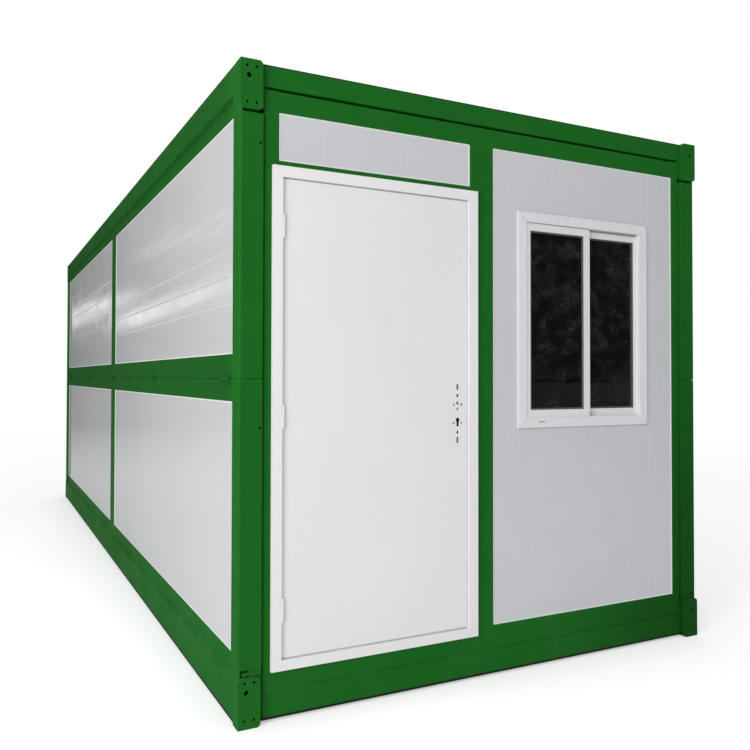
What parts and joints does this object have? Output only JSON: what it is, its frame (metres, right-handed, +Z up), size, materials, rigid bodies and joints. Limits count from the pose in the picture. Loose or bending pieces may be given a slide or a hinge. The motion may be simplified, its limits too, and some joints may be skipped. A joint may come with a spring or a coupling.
{
  "type": "folding container house",
  "caption": "Small box-shaped house with a steel frame, insulated panel walls, a door and a sliding window, whose end walls swing up under the roof.",
  "frame": {"origin": "on the ground in the middle of the plan", "axes": "+X to the right as one faces the door, +Y from the door end to the rear end, +Z up"},
  "size_m": [2.45, 5.8, 2.5],
  "materials": {
    "green_paint": "semi-gloss green enamel on rolled steel",
    "wall_panel": "smooth off-white coated steel skin",
    "ceiling_skin": "smooth white coated steel skin",
    "galvanised_steel": "dull galvanised steel",
    "floor_board": "matt fibre-cement board",
    "roof_sheet": "ribbed coated steel sheet",
    "white_paint": "satin white powder coat",
    "door_skin": "satin white coated steel",
    "window_frame": "white plastic profile",
    "glass": "dark clear glass",
    "lock_metal": "plain steel"
  },
  "bodies": {
    "house": {"floor_side_beams": "green_paint", "floor_end_beams": "green_paint", "floor_joists": "galvanised_steel", "floor_deck": "floor_board", "floor_corner_front_left": "green_paint", "floor_corner_front_right": "green_paint", "floor_corner_rear_left": "green_paint", "floor_corner_rear_right": "green_paint", "roof_side_beams": "green_paint", "roof_end_beams": "green_paint", "roof_purlins": "galvanised_steel", "roof_sheet": "roof_sheet", "ceiling_panel": "ceiling_skin", "roof_corner_front_left": "green_paint", "roof_corner_front_right": "green_paint", "roof_corner_rear_left": "green_paint", "roof_corner_rear_right": "green_paint", "left_lower_frame": "green_paint", "left_upper_frame": "green_paint", "right_lower_frame": "green_paint", "right_upper_frame": "green_paint", "left_lower_panels": "wall_panel", "left_upper_panels": "wall_panel", "right_lower_panels": "wall_panel", "right_upper_panels": "wall_panel", "left_fold_hinges": "green_paint", "right_fold_hinges": "green_paint", "roof_wall_hinges": "green_paint"},
    "front_wall": {"front_wall_frame": "green_paint", "transom_panel": "wall_panel", "window_panel": "wall_panel", "door_frame": "white_paint", "door_hinge_pins": "white_paint", "window_frame": "window_frame", "left_sash": "window_frame", "right_sash": "window_frame", "left_pane": "glass", "right_pane": "glass", "front_wall_hinges": "green_paint"},
    "rear_wall": {"rear_wall_frame": "green_paint", "rear_wall_panels": "wall_panel", "rear_wall_hinges": "green_paint"},
    "door": {"door_leaf": "door_skin", "door_lock": "lock_metal", "door_hinge_sleeves": "white_paint"}
  },
  "joints": [
    {"name": "front_wall_swing", "type": "hinge", "parent": "house", "child": "front_wall", "pos_m": [0, -2.812, 2.407], "axis": [1, 0, 0], "range_deg": [0, 90]},
    {"name": "rear_wall_swing", "type": "hinge", "parent": "house", "child": "rear_wall", "pos_m": [0, 2.812, 2.407], "axis": [-1, 0, 0], "range_deg": [0, 90]},
    {"name": "door_swing", "type": "hinge", "parent": "front_wall", "child": "door", "pos_m": [-1.0445, -2.8905, 1.15], "axis": [0, 0, -1], "range_deg": [0, 90]}
  ]
}
